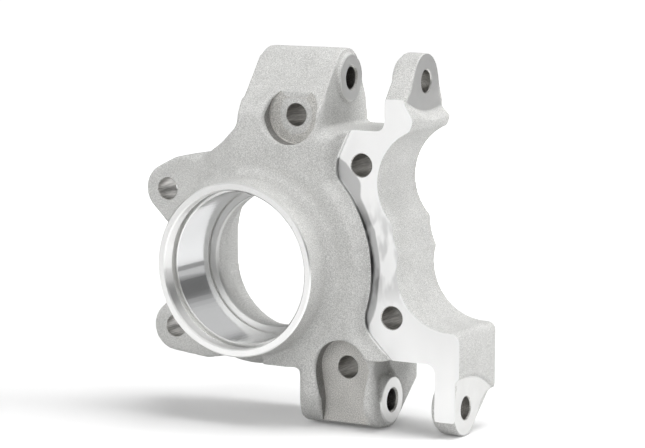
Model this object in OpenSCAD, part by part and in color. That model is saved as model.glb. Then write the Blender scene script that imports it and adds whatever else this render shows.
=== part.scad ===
/* [Bearing bore] */
// Diameter of the bearing seat
seat_d = 85; // [82:0.5:86]
// Length of the bearing seat
seat_length = 35.6; // [30:0.2:38]
// Diameter of the open mouth in front of the seat
mouth_d = 88.4; // [87:0.2:90]
// Diameter of the retaining ring groove
groove_d = 92.4; // [90.5:0.2:93]
// Width of the retaining ring groove
groove_width = 2.6; // [1.6:0.1:3.4]
// Diameter inside the shoulder behind the seat
shoulder_d = 76.4; // [70:0.2:78]
// Thickness of the machined shoulder
shoulder_depth = 3.5; // [2.5:0.1:5]
// Diameter of the cast passage behind the shoulder
passage_d = 79; // [77:0.5:80]
// Height by which the passage is drawn out at the back
passage_stretch = 14; // [6:1:18]

/* [Housing] */
// Outer diameter of the bearing ring at its front face
ring_d = 97; // [95:0.5:100]
// Distance from the caliper face forward to the ring face
ring_reach = 28.5; // [26:0.5:32]
// Outward draft of the ring wall, in degrees
ring_draft = 5; // [1:0.5:7]
// Outer diameter of the housing body
body_d = 112.5; // [111:0.5:118]
// Radius of the shoulder wall beside the caliper face
crescent_r = 71.2; // [69:0.2:73]
// Distance by which the body stands proud of the caliper face
body_proud = 9; // [7:0.5:11]
// Depth of the casting behind the caliper face
back_depth = 48.5; // [46:0.5:52]
// Depth of the housing's flat back ring behind the caliper face
housing_depth = 46.5; // [44:0.5:48]
// Diameter of the flat cut into the back around the passage
back_ring_d = 104; // [98:1:110]
// Radius of the hollow fillet between ring and body
ring_fillet = 8; // [5:0.5:9]
// Radius of the rounded front edges of the crescent and of both shoulders
crescent_round = 8; // [4:0.5:8.5]

/* [Suspension eyes] */
// Diameter of the bolt holes
bolt_hole_d = 12.4; // [10:0.2:13]
// Radius of the rounded ends of the lugs
eye_r = 15.5; // [14:0.5:16.5]
// Distance of the upper bolt axis behind the caliper face
upper_y = 27.1; // [25:0.1:29]
// Height of the upper bolt axis above the bore axis
upper_z = 104.5; // [102:0.5:108]
// Distance of the lower bolt axis behind the caliper face
lower_y = 14.4; // [13:0.1:16]
// Depth of the lower bolt axis below the bore axis
lower_z = 72.4; // [70:0.2:76]
// Thickness of the outer ears without their pads
ear_t = 12.2; // [10:0.2:13]
// Clear width between the pads of the upper clevis
upper_gap = 31.2; // [29:0.2:33]
// Clear width between the pads of the lower clevis
lower_gap = 30; // [28:0.2:32]
// Depth of the threaded bolt holes in the inner lugs
thread_depth = 30; // [20:1:34]
// Diameter of the machined pads round the bolt holes
pad_d = 26; // [22:0.5:28]
// Height of the pads over the cast sides of lugs and ears
pad_height = 2.6; // [1:0.2:5]

/* [Upper lug] */
// Position of the upper lug's left side
upper_lug_x = -8.5; // [-12:0.5:-5]
// Position of the pad face on the upper lug
upper_pad_x = 44.2; // [42:0.2:46]
// Height of the upper clevis floor
upper_floor_z = 78.3; // [76:0.5:80]
// Slope of the front flanks, in degrees from the vertical
front_flank = 39; // [36:1:44]
// Slope of the upper back flanks, in degrees from the vertical
back_flank = 22.6; // [18:0.2:26]
// Rise of the lug's top over the ear's top
lug_rise = 1.2; // [0:0.2:3]
// Sideways draft of the lug's side from its top to the clevis floor
side_draft = 2.6; // [1:0.2:4]
// Step by which the lug's base is wider than its top
base_step = 1.5; // [0.5:0.1:3]
// Height of that step
base_z = 93; // [90:0.5:97]
// Sideways position of the upper mounting hole
upper_hole_x = 23.2; // [21:0.2:25]
// Height of the upper mounting hole
upper_hole_z = 84.9; // [83:0.1:86]
// Diameter of the round seats about the two mounting holes
spot_d = 32; // [29:0.5:33]
// Depth of the upper round seat's floor behind the caliper face
spot_y = 1; // [0:0.2:3]
// Position of the front shoulder's edge above the crescent
shoulder_x = 49.4; // [48:0.2:51]
// Position of the front shoulder's corner at the clevis floor
shoulder_top_x = 56.8; // [54:0.2:59]
// Height at which the front shoulder turns towards that corner
shoulder_turn_z = 61.9; // [59:0.5:66]

/* [Lower lug] */
// Position of the lower lug's left side
lower_lug_x = 29; // [27:0.5:32]
// Position of the pad face on the lower lug
lower_pad_x = 77.5; // [75:0.5:80]
// Depth of the lower clevis roof below the bore axis
lower_roof_z = 47.3; // [45:0.5:49]
// Slope of the lower back flanks, in degrees from the vertical
toe_flank = 38; // [34:1:44]
// Sideways position of the lower mounting hole
lower_hole_x = 56.9; // [55:0.5:58.5]
// Depth of the lower mounting hole below the bore axis
lower_hole_z = 53.4; // [52:0.5:55]
// Width of the channel's waist below the head
channel_waist = 27; // [22:0.5:29]
// Distance from the hole down to the waist
channel_drop = 15; // [13:0.5:18]
// Spread of the channel's walls below the waist, on each side
channel_flare = 3; // [1:0.5:6]
// Radius of the lower lug's left front edge
rib_round = 6; // [3:0.5:8]
// Width of the hollow beside the lower pad
scoop_width = 12.3; // [9:0.1:15]
// Depth of that hollow into the lug's side
scoop_depth = 4.7; // [2:0.1:6]
// Thickness of the rib in front of that hollow
scoop_rib = 5.2; // [3.5:0.1:7]
// Radius of the fillet between the clevis roof and the lug's side
roof_fillet_r = 7; // [4:0.5:9]
// Position of the lower shoulder's end over the clevis roof
lower_shoulder_x = 83.1; // [81:0.1:86]
// Slope of the lower shoulder, in degrees from the horizontal
shoulder_slope = 45; // [40:1:50]
// Slope of the short wall between crescent and shoulder, in degrees
bend_slope = 76; // [70:1:80]
// Sideways position of the middle of that wall
bend_x = 68; // [67:0.1:69]
// Depth of the middle of that wall
bend_z = 29; // [28:0.1:30]

/* [Caliper bracket] */
// Sideways position of the upper caliper hole
caliper_upper_x = 64.4; // [62:0.2:66]
// Height of the upper caliper hole above the bore axis
caliper_upper_z = 59.2; // [57:0.2:61]
// Sideways position of the lower caliper hole
caliper_lower_x = 83.7; // [82:0.2:85]
// Depth of the lower caliper hole below the bore axis
caliper_lower_z = 23.7; // [22:0.2:26]
// Radius of the two large scallops along the outer edge
scallop_r = 31; // [30:0.2:32]
// Sideways position of the upper scallop's centre
scallop_upper_x = 105.1; // [104:0.1:106.5]
// Height of the upper scallop's centre
scallop_upper_z = 50.2; // [49:0.1:51.5]
// Sideways position of the lower scallop's centre
scallop_lower_x = 118; // [117:0.1:119]
// Height of the lower scallop's centre
scallop_lower_z = 2.4; // [1.5:0.1:3.5]
// Radius of the shallow scallop between them
middle_scallop_r = 40; // [38:0.5:44]
// Sideways position of the shallow scallop's centre
scallop_middle_x = 123.5; // [122.5:0.1:124.5]
// Height of the shallow scallop's centre
scallop_middle_z = 28.6; // [27.5:0.1:29.5]
// Position of the outer side below the lower scallop
bracket_x = 124.7; // [123.5:0.2:127]
// Depth of the outer side's top below the bore axis
ledge_z = 29.3; // [28:0.2:31]
// Distance by which the bracket's horn stands out past the upper ear
horn = 5.4; // [3:0.2:7]
// Height at which the horn leaves the upper ear
horn_root_z = 93.5; // [91:0.5:96]
// Height of the horn's tip
horn_tip_z = 85; // [83:0.5:87]
// Radius of the round run-outs of the milled ear faces
cutter_r = 60; // [40:5:80]

/* [Rear ears] */
// Sideways position of the upper rear ear's hole
ear_upper_x = -64.1; // [-66:0.2:-62]
// Height of the upper rear ear's hole
ear_upper_z = 37.7; // [36:0.2:39]
// Sideways position of the lower rear ear's hole
ear_lower_x = -58.9; // [-61:0.2:-57]
// Depth of the lower rear ear's hole
ear_lower_z = 41.7; // [40:0.2:43]
// Radius of the rounded ends of the rear ears
ear_r = 14.3; // [12.5:0.1:16]
// Distance of the rear ears' front face behind the caliper face
ear_y = 7.5; // [5:0.5:12]
// Thickness of the rear ears
ear_depth = 20; // [16:1:24]
// Height of the upper ear's web at its root
web_top_z = 60.8; // [58:0.2:63]
// Depth of the lower ear's web at its root
web_bottom_z = 58.4; // [56:0.2:61]

/* [Hidden] */
arc_step = 9;
over = 1;
true_round = 96;

ring_face_y = -ring_reach;
seat_y = -seat_length / 2;
seat_end_y = seat_length / 2;
groove_y = seat_y - groove_width;
shoulder_end_y = seat_end_y + shoulder_depth;
upper_eye = [upper_y, upper_z];
lower_eye = [lower_y, -lower_z];
lug_eye = upper_eye + [0, lug_rise];
upper_ear_x = upper_pad_x + upper_gap + pad_height;
lower_ear_x = lower_pad_x + lower_gap + pad_height;
upper_face_x = upper_ear_x + ear_t;
lower_face_x = lower_ear_x + ear_t;
upper_side_x = upper_pad_x - pad_height;
lower_side_x = lower_pad_x - pad_height / 2;
soft_y = crescent_round - body_proud;
block_front = body_proud + 0.02;
wall_front = body_proud - 0.3;
top_z = upper_z + eye_r + 4;
bottom_z = -lower_z - eye_r;
ear_upper = [ear_upper_x, ear_upper_z];
ear_lower = [ear_lower_x, -ear_lower_z];

// Radius reached by the drafted ring wall where it meets the body
wall_r = ring_d / 2 + (ring_reach - body_proud) * tan(ring_draft);

// Lower shoulder: its end over the clevis roof and its direction down the front view
shoulder_end = [lower_shoulder_x, -lower_roof_z];
shoulder_dir = [cos(shoulder_slope), -sin(shoulder_slope)];

// Outline helpers: points of an arc, and polygon corners [x, y, r] rounded to r
function unit(v) = v / norm(v);
function polar(r, a) = [r * cos(a), r * sin(a), 0];
function flat(pts) = [for (p = pts) [p[0], p[1]]];
function arc(centre, r, from, to) =
    let (n = max(2, ceil(abs(to - from) / arc_step)))
    [for (i = [0:n]) let (a = from + (to - from) * i / n)
        [centre[0] + r * cos(a), centre[1] + r * sin(a), 0]];
function corner(a, b, c) =
    let (p = [b[0], b[1]], r = b[2])
    r == 0 ? [p] :
    let (u = unit([a[0], a[1]] - p),
         w = unit([c[0], c[1]] - p),
         half = acos(u * w) / 2,
         centre = p + unit(u + w) * r / sin(half),
         start = p + u * r / tan(half) - centre,
         finish = p + w * r / tan(half) - centre,
         from = atan2(start[1], start[0]),
         sweep = (atan2(finish[1], finish[0]) - from + 540) % 360 - 180,
         n = max(2, ceil(abs(sweep) / arc_step)))
    [for (i = [0:n]) let (t = from + sweep * i / n) centre + r * [cos(t), sin(t)]];
function rounded(pts) =
    let (n = len(pts))
    [for (i = [0:n - 1]) each corner(pts[(i + n - 1) % n], pts[i], pts[(i + 1) % n])];

// Point where the tangent of a circle at angle a reaches the abscissa y
function tangent_to(centre, r, a, y) =
    let (p = centre + r * [cos(a), sin(a)])
    [y, p[1] - (y - p[0]) / tan(a), 0];

// Bodies swept along X, Y or Z from an outline given in the other two axes
module along_x(x0, x1) translate([x0, 0, 0]) rotate([90, 0, 90]) linear_extrude(x1 - x0) children();
module along_y(y0, y1) translate([0, y1, 0]) rotate([90, 0, 0]) linear_extrude(y1 - y0) children();
module along_z(z0, z1) translate([0, 0, z0]) linear_extrude(z1 - z0) children();

// Round rods and bores along Y and X, true cylinders
module rod_y(at, d, y0, y1)
    translate([at[0], y0, at[1]]) rotate([-90, 0, 0]) cylinder(d = d, h = y1 - y0, $fn = true_round);
module rod_x(eye, d, x0, x1, flare = 0)
    translate([x0, eye[0], eye[1]]) rotate([0, 90, 0])
        cylinder(d1 = d, d2 = d + flare, h = x1 - x0, $fn = true_round);

// Block whose right side runs from a to b in the front view, its front edge rounded
module soft_side(a, b, beyond = 0, width = 30)
    translate([a[0], 0, a[1]]) rotate([0, -atan2(b[1] - a[1], b[0] - a[0]), 0])
        along_x(0, norm(b - a) + beyond) polygon(rounded([
            [-block_front, -width, 0],
            [-block_front, 0, crescent_round],
            [back_depth, 0, 0],
            [back_depth, -width, 0]]));

// Turned housing: drafted ring wall, hollow fillet, a conical shoulder, then the body
module housing() {
    shelf = body_d / 2 - wall_r;
    rotate([-90, 0, 0]) rotate_extrude($fn = true_round)
        polygon(rounded([
            [shoulder_d / 2 - 4, ring_face_y, 0],
            [ring_d / 2, ring_face_y, 0.8],
            [wall_r, -body_proud, ring_fillet],
            [body_d / 2, shelf - body_proud, 4],
            [body_d / 2, housing_depth, 4],
            [shoulder_d / 2 - 4, housing_depth, 0]]));
}

// Crescent of the body from the lower lug, past the caliper face, to the upper lug
module crescent(from = -58, to = 100) {
    rotate([-90, 0, 0]) rotate([0, 0, -to]) rotate_extrude(angle = to - from, $fn = true_round)
        polygon(rounded([
            [shoulder_d / 2 - 4, ring_face_y + 4, 0],
            [ring_d / 2 - 1, ring_face_y + 4, 0],
            [wall_r, -body_proud, ring_fillet],
            [crescent_r, -body_proud, crescent_round],
            [crescent_r, housing_depth - 3, 0],
            [shoulder_d / 2 - 4, housing_depth - 3, 0]]));
}

// Side outline of an upper lug or ear: an arch about its eye
module upper_side(eye, front_y) {
    polygon(flat(concat(
        [tangent_to(eye, eye_r, 180 - front_flank, front_y)],
        arc(eye, eye_r, 180 - front_flank, back_flank),
        [tangent_to(eye, eye_r, back_flank, back_depth)],
        [[back_depth, 0, 0], [front_y, 0, 0]])));
}

// Upper lug: a wide prism under the arch, with a soft front edge towards the clevis
module upper_lug() {
    base_x = upper_lug_x - base_step;
    intersection() {
        along_y(-body_proud, back_depth) polygon(rounded([
            [upper_lug_x, top_z, 0],
            [upper_side_x, top_z, 0],
            [upper_side_x, upper_z - 4, 30],
            [upper_side_x + side_draft, upper_floor_z - 2, 0],
            [upper_side_x, 20, 0],
            [0, 20, 0],
            [base_x, upper_floor_z - 4, 0],
            [base_x, base_z, 0.8],
            [upper_lug_x, base_z, 0.6]]));
        along_x(base_x - over, upper_pad_x + side_draft) upper_side(lug_eye, -body_proud);
        along_z(0, top_z) polygon(rounded([
            [base_x - 0.4, -body_proud, 3],
            [upper_side_x + side_draft - 0.2, -body_proud, crescent_round],
            [upper_side_x + side_draft, back_depth, 0],
            [base_x - 0.4, back_depth, 0]]));
    }
}

// Foot of the upper lug: the clevis floor and the shoulder down to the crescent
module upper_foot() {
    top = [shoulder_top_x, upper_floor_z];
    turn = [shoulder_x + 0.2, shoulder_turn_z];
    intersection() {
        soft_side([upper_hole_x, upper_floor_z], top, over, 40);
        soft_side(top, turn, 10);
    }
    soft_side([shoulder_x, shoulder_turn_z + 6], [shoulder_x, shoulder_turn_z - 16], 0, 20);
    along_y(soft_y, back_depth) polygon(rounded([
        [upper_side_x, upper_floor_z + 6, 0],
        [upper_side_x + 2, upper_floor_z, 5],
        [shoulder_top_x - 2, upper_floor_z, 0],
        [upper_side_x, upper_floor_z - 6, 0]]));
}

// Flare of the upper lug: a wedge that thins out to the upper rear ear
module flare() {
    base_x = upper_lug_x - base_step;
    web_x = ear_upper_x + 12;
    intersection() {
        along_y(-body_proud, back_depth) polygon(rounded([
            [upper_lug_x + 4, upper_floor_z + 4, 0],
            [base_x + 0.3, upper_floor_z + 4, 0],
            [base_x - 0.2, upper_floor_z - 0.5, 8],
            [upper_lug_x - 13.3, upper_floor_z - 10, 30],
            [web_x + 2, web_top_z - 9, 0],
            [web_x, 30, 0],
            [upper_lug_x + 4, 20, 0]]));
        along_z(0, top_z) polygon(rounded([
            [base_x - 2.5, -body_proud, 12],
            [web_x, ear_y + 3, 0],
            [web_x, ear_y + ear_depth, 0],
            [upper_lug_x - 6, back_depth, 40],
            [upper_lug_x + 4, back_depth, 0],
            [upper_lug_x + 4, -body_proud, 0]]));
    }
}

// Shoulder from the crescent down to the lower clevis roof
module lower_foot() {
    intersection() {
        soft_side(shoulder_end - shoulder_dir * 28, shoulder_end, 6, 14);
        along_y(-body_proud - over, back_depth + over) polygon([
            [30, -10],
            [lower_shoulder_x + 8, -10],
            [lower_shoulder_x + 8, -lower_roof_z],
            [30, -lower_roof_z]]);
    }
    translate([bend_x, 0, -bend_z]) rotate([0, bend_slope, 0]) along_x(-9, 6) polygon(rounded([
        [-wall_front, -9, 0],
        [-wall_front, 0, crescent_round],
        [back_depth - 8.5, 0, 0],
        [back_depth - 8.5, -9, 0]]));
}

// Lower lug: a prism under the housing with a rounded toe and soft front edges
module lower_lug() {
    belly_z = -body_d / 2 + 1;
    difference() {
        union() {
            intersection() {
                along_x(lower_lug_x, lower_side_x) lower_side();
                along_z(bottom_z - over, 1 - lower_roof_z) polygon(rounded([
                    [lower_lug_x, -body_proud, rib_round],
                    [lower_side_x, -body_proud, crescent_round],
                    [lower_side_x, back_depth, 0],
                    [lower_lug_x, back_depth, 0]]));
            }
            along_y(back_depth - 30, back_depth) roof_fillet();
            along_y(soft_y, back_depth - 29) roof_fillet();
        }
        side_hollow();
    }
    along_y(-body_proud, back_depth) polygon([
        [8, -20],
        [50, -20],
        shoulder_end - shoulder_dir * 21 - [1.5 * crescent_round, 0],
        shoulder_end - [1.5 * crescent_round, 2],
        [lower_lug_x + rib_round + 2, -lower_roof_z - 2],
        [lower_lug_x + rib_round + 2, belly_z],
        [8, belly_z]]);
    along_y(rib_round - body_proud, back_depth - over) polygon(rounded([
        [lower_lug_x - 8, belly_z + 2, 0],
        [lower_lug_x - 8, belly_z, 0],
        [lower_lug_x, belly_z, 4],
        [lower_lug_x, belly_z - 8, 0],
        [lower_lug_x + 2, belly_z - 8, 0],
        [lower_lug_x + 2, belly_z + 2, 0]]));
}

// Side outline of the lower lug, rounded about its bolt axis
module lower_side() {
    polygon(rounded(concat(
        [[back_depth, -20, 0], tangent_to(lower_eye, eye_r, toe_flank - 90, back_depth)],
        arc(lower_eye, eye_r, toe_flank - 90, -90),
        [[-body_proud, bottom_z, 20], [-body_proud, -20, 0]])));
}

// Front outline of the fillet between the clevis roof and the lower lug's side
module roof_fillet() {
    roof = -lower_roof_z;
    polygon(rounded([
        [lower_side_x - 5, roof + 4, 0],
        [lower_side_x + roof_fillet_r + 2, roof + 4, 0],
        [lower_side_x + roof_fillet_r + 2, roof, 0],
        [lower_side_x, roof, roof_fillet_r],
        [lower_side_x, roof - roof_fillet_r - 2, 0],
        [lower_side_x - 5, roof - roof_fillet_r - 2, 0]]));
}

// Hollow in the side of the lower lug, between the front rib and the pad
module side_hollow() {
    front = scoop_rib - body_proud;
    top = -lower_roof_z - 0.7;
    low = -lower_z + 1.4;
    floor_x = lower_side_x - scoop_depth;
    open_x = lower_side_x + roof_fillet_r + 4;
    intersection() {
        along_x(floor_x - over, open_x) polygon(rounded([
            [front, top, 3],
            [front + scoop_width, top, 2],
            [lower_y + 9.6, low + 9, 2],
            [lower_y + 1, low, 0],
            [front + scoop_width - 1, low, 0],
            [front + 3.6, low, 2]]));
        along_y(-body_proud, back_depth) polygon(rounded([
            [open_x, top + over, 0],
            [floor_x, top + over, 4],
            [floor_x, -lower_z + 12, 12],
            [lower_side_x - 1, low - 4, 0],
            [open_x, low - 4, 0]]));
    }
}

// Front outline of the caliper bracket with its scallops and both outer ears
module bracket_outline() {
    horn_x = upper_face_x + horn;
    polygon(rounded(concat(
        [[upper_ear_x, top_z, 0], [upper_face_x, top_z, 0], [upper_face_x, horn_root_z, 2],
         [horn_x, horn_tip_z, 4.5], [horn_x - 2.4, upper_floor_z, 4]],
        arc([scallop_upper_x, scallop_upper_z], scallop_r, 117, 225),
        arc([scallop_middle_x, scallop_middle_z], middle_scallop_r, 181, 204),
        arc([scallop_lower_x, scallop_lower_z], scallop_r + 0.7, 163, 265),
        [[bracket_x, -ledge_z, 5], [bracket_x, bottom_z - over, 0], [lower_ear_x, bottom_z - over, 0],
         [lower_ear_x, -lower_roof_z, 5], [lower_hole_x, -lower_roof_z, 0], [30, -10, 0], [30, 50, 0],
         [shoulder_x, upper_floor_z, 0], [upper_ear_x, upper_floor_z, 4.5]])));
}

// Side outline of the bracket: both ears are rounded about their bolt axes
module bracket_side() {
    polygon(flat(concat(
        [tangent_to(upper_eye, eye_r, 180 - front_flank, 0)],
        arc(upper_eye, eye_r, 180 - front_flank, back_flank),
        [tangent_to(upper_eye, eye_r, back_flank, back_depth),
         tangent_to(lower_eye, eye_r, toe_flank - 90, back_depth)],
        arc(lower_eye, eye_r, toe_flank - 90, -159))));
}

// Caliper bracket with the two outer ears
module caliper_bracket() {
    intersection() {
        along_y(0, back_depth) bracket_outline();
        along_x(0, bracket_x + over) bracket_side();
    }
}

// Upper rear ear on a web that rises towards the flare
module upper_rear_ear() {
    along_y(ear_y, ear_y + ear_depth) polygon(rounded(concat(
        arc(ear_upper, ear_r, 232, 118),
        [[ear_upper_x + 5, ear_upper_z + 18.8, 20], [upper_lug_x - 25.5, web_top_z, 0],
         polar(40, 130), polar(40, 190)])));
}

// Lower rear ear on a web that runs under the housing
module lower_rear_ear() {
    along_y(ear_y, ear_y + ear_depth) polygon(flat(concat(
        arc(ear_lower, ear_r, 124, 266),
        [[ear_lower_x + 21, -web_bottom_z, 0], [ear_lower_x + 39, 3.4 - web_bottom_z, 0],
         polar(40, 250), polar(40, 178)])));
}

// Pads round the clevis bolts, raised on both inner lugs and inside both ears
module clevis_pads() {
    root = 6;
    rod_x(upper_eye, pad_d, upper_side_x - root, upper_pad_x);
    rod_x(lower_eye, pad_d, lower_side_x - root, lower_pad_x);
    rod_x(upper_eye, pad_d, upper_ear_x - pad_height, upper_ear_x + root);
    rod_x(lower_eye, pad_d, lower_ear_x - pad_height, lower_ear_x + root);
}

// The whole casting before any machining
module casting() {
    housing();
    crescent();
    upper_lug();
    upper_foot();
    flare();
    lower_foot();
    lower_lug();
    caliper_bracket();
    upper_rear_ear();
    lower_rear_ear();
    clevis_pads();
}

// Bearing bore: mouth, ring groove, seat, shoulder and the cast passage
module bearing_bore() {
    rotate([-90, 0, 0]) rotate_extrude($fn = true_round)
        polygon([
            [0, ring_face_y - over],
            [mouth_d / 2 + over + 0.6, ring_face_y - over],
            [mouth_d / 2, ring_face_y + 0.6],
            [mouth_d / 2, groove_y],
            [groove_d / 2, groove_y],
            [groove_d / 2, seat_y],
            [seat_d / 2 + 0.5, seat_y],
            [seat_d / 2, seat_y + 0.8],
            [seat_d / 2, seat_end_y],
            [shoulder_d / 2, seat_end_y],
            [shoulder_d / 2, shoulder_end_y],
            [0, shoulder_end_y]]);
    rod_y([0, 0], passage_d, shoulder_end_y - 0.01, back_depth + over);
}

// Flat ring cut into the back, and the drawn-out opening of the passage in it
module passage_window() {
    rod_y([0, 0], back_ring_d, housing_depth, back_depth + over);
    window_y = (shoulder_end_y + housing_depth) / 2;
    for (share = [-0.3, 0.7]) rod_y([0, share * passage_stretch], passage_d, window_y, back_depth + over);
    translate([-passage_d / 2, window_y, -0.3 * passage_stretch])
        cube([passage_d, back_depth + over - window_y, passage_stretch]);
}

// Round seat and drilled hole through the upper lug
module upper_mounting_hole() {
    rod_y([upper_hole_x, upper_hole_z], spot_d, -body_proud - 20, spot_y);
    rod_y([upper_hole_x, upper_hole_z], bolt_hole_d, 0, back_depth + over);
}

// Open channel with a round head, a waist and a drilled hole in the lower lug
module lower_mounting_hole() {
    half = channel_waist / 2;
    waist_z = -lower_hole_z - channel_drop;
    rod_y([lower_hole_x, -lower_hole_z], spot_d, -body_proud - over, 0);
    along_y(-body_proud - over, 0) polygon(rounded([
        [lower_hole_x - spot_d / 2, -lower_hole_z, 0],
        [lower_hole_x - half, waist_z, 12],
        [lower_hole_x - half, waist_z - 9, 14],
        [lower_hole_x - half - channel_flare, bottom_z - over, 0],
        [lower_hole_x + half + channel_flare, bottom_z - over, 0],
        [lower_hole_x + half, waist_z - 9, 14],
        [lower_hole_x + half, waist_z, 12],
        [lower_hole_x + spot_d / 2, -lower_hole_z, 0]]));
    rod_y([lower_hole_x, -lower_hole_z], bolt_hole_d, -over, back_depth + over);
}

// Milled outer faces of both ears, each run out to the round of a flaring cutter
module ear_faces() {
    reach = 20;
    rod_x([upper_y + 5, upper_z - 17.3 + cutter_r], 2 * cutter_r, upper_face_x, upper_face_x + reach, 36);
    rod_x([lower_y - 5, -lower_z + 16.9 - cutter_r], 2 * cutter_r, lower_face_x, lower_face_x + reach, 36);
}

// Bolt holes through the ears into the inner lugs, along X
module clevis_bores() {
    rod_x(upper_eye, bolt_hole_d, upper_pad_x - thread_depth, upper_face_x + over);
    rod_x(lower_eye, bolt_hole_d, lower_pad_x - thread_depth, lower_face_x + over);
}

// Holes of the caliper face and the rear ears, along Y
module cross_bores() {
    for (hole = [[caliper_upper_x, caliper_upper_z], [caliper_lower_x, -caliper_lower_z]])
        rod_y(hole, bolt_hole_d, -over, back_depth + over);
    for (hole = [ear_upper, ear_lower])
        rod_y(hole, bolt_hole_d, ear_y - over, ear_y + ear_depth + over);
}

// The one cast and machined piece
module knuckle() {
    color([0.78, 0.78, 0.77]) difference() {
        casting();
        bearing_bore();
        passage_window();
        upper_mounting_hole();
        lower_mounting_hole();
        ear_faces();
        clevis_bores();
        cross_bores();
    }
}

knuckle();
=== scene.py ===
import logging
import math
from dataclasses import dataclass, field
from enum import Enum
from typing import Any, Iterable, Optional, Sequence, Union

import bmesh
import bpy
import numpy as np
from mathutils import Matrix, Vector


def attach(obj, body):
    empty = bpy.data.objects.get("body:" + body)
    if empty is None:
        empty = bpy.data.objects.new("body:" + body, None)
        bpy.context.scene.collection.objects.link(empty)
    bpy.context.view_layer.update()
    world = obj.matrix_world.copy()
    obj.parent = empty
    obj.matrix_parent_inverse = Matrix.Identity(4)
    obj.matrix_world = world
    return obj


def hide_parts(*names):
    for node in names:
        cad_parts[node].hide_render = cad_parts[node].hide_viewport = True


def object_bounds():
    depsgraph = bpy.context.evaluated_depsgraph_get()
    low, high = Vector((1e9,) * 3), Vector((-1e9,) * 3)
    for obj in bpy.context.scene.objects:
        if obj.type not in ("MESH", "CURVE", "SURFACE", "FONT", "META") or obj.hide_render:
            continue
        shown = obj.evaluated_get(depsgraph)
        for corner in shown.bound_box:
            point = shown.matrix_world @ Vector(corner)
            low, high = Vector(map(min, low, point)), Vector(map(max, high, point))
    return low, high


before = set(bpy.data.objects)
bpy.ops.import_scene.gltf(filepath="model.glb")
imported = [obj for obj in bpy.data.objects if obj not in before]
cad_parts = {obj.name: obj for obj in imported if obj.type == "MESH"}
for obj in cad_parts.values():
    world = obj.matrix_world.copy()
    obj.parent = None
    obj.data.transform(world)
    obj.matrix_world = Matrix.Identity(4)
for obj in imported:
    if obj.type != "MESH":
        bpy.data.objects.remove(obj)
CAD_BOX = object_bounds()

LOG = logging.getLogger("steering_knuckle")
MM = 0.001
ROUND_STEPS = 96
MERGE = 1e-6
SPIN_MERGE = 1e-7
FLOOR_GAP = 0.0003

Number = Union[int, float]
Point = tuple[float, float, float]
Pair = tuple[float, float]


class Level:
    """A number carried by a shader socket, for plain arithmetic between nodes."""

    def __init__(self, graph: "Graph", socket: bpy.types.NodeSocket) -> None:
        """Keeps the socket and the graph that it belongs to."""
        self.graph = graph
        self.socket = socket

    def __add__(self, other: "Operand") -> "Level":
        """Sum of two levels."""
        return self.graph.maths("ADD", self, other)

    def __radd__(self, other: "Operand") -> "Level":
        """Sum of a number and a level."""
        return self.graph.maths("ADD", other, self)

    def __sub__(self, other: "Operand") -> "Level":
        """Difference of two levels."""
        return self.graph.maths("SUBTRACT", self, other)

    def __rsub__(self, other: "Operand") -> "Level":
        """Difference of a number and a level."""
        return self.graph.maths("SUBTRACT", other, self)

    def __mul__(self, other: "Operand") -> "Level":
        """Product of two levels."""
        return self.graph.maths("MULTIPLY", self, other)

    def __rmul__(self, other: "Operand") -> "Level":
        """Product of a number and a level."""
        return self.graph.maths("MULTIPLY", other, self)

    def __pow__(self, other: "Operand") -> "Level":
        """Power of a level."""
        return self.graph.maths("POWER", self, other)

    def __rpow__(self, other: "Operand") -> "Level":
        """Power of a number."""
        return self.graph.maths("POWER", other, self)


Operand = Union[Level, Number]


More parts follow.
